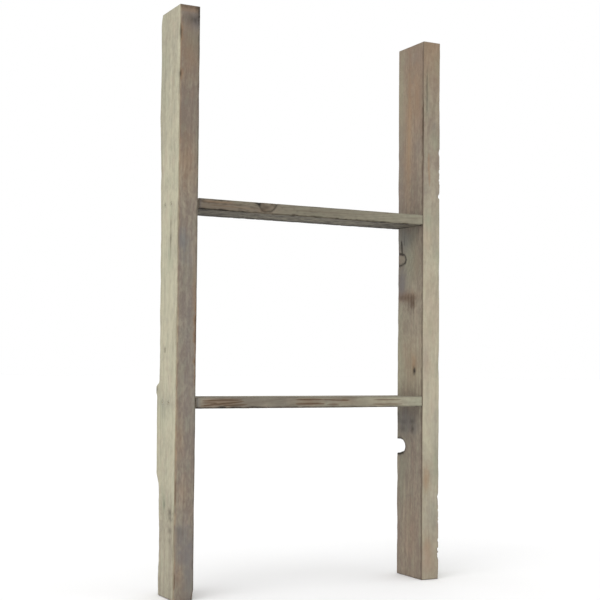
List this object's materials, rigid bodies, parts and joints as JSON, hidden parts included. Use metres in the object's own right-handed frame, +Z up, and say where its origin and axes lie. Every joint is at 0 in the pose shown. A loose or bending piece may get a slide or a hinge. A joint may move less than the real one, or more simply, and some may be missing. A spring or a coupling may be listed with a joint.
{
  "type": "quilt ladder rack",
  "caption": "Short rustic ladder rack of weathered boards: upright stiles joined by flat rungs with sunk wood screws, for hanging a quilt or blanket.",
  "frame": {"origin": "on the floor, at the centre of the rack's footprint", "axes": "+X along the rungs from the left stile to the right stile, +Y from the front face to the back face, +Z up the stiles"},
  "size_m": [0.5336, 0.089, 1.01],
  "materials": {
    "left_stile_wood": "matte, weathered and grey-washed",
    "right_stile_wood": "matte, weathered and grey-washed",
    "upper_rung_wood": "matte, weathered and grey-washed",
    "lower_rung_wood": "matte, weathered and grey-washed",
    "screw_steel": "dull, slightly rusted"
  },
  "bodies": {
    "root": {"left_stile": "left_stile_wood", "right_stile": "right_stile_wood", "upper_rung": "upper_rung_wood", "lower_rung": "lower_rung_wood", "upper_left_front_screw": "screw_steel", "upper_left_back_screw": "screw_steel", "upper_right_front_screw": "screw_steel", "upper_right_back_screw": "screw_steel", "lower_left_front_screw": "screw_steel", "lower_left_back_screw": "screw_steel", "lower_right_front_screw": "screw_steel", "lower_right_back_screw": "screw_steel"}
  },
  "joints": []
}
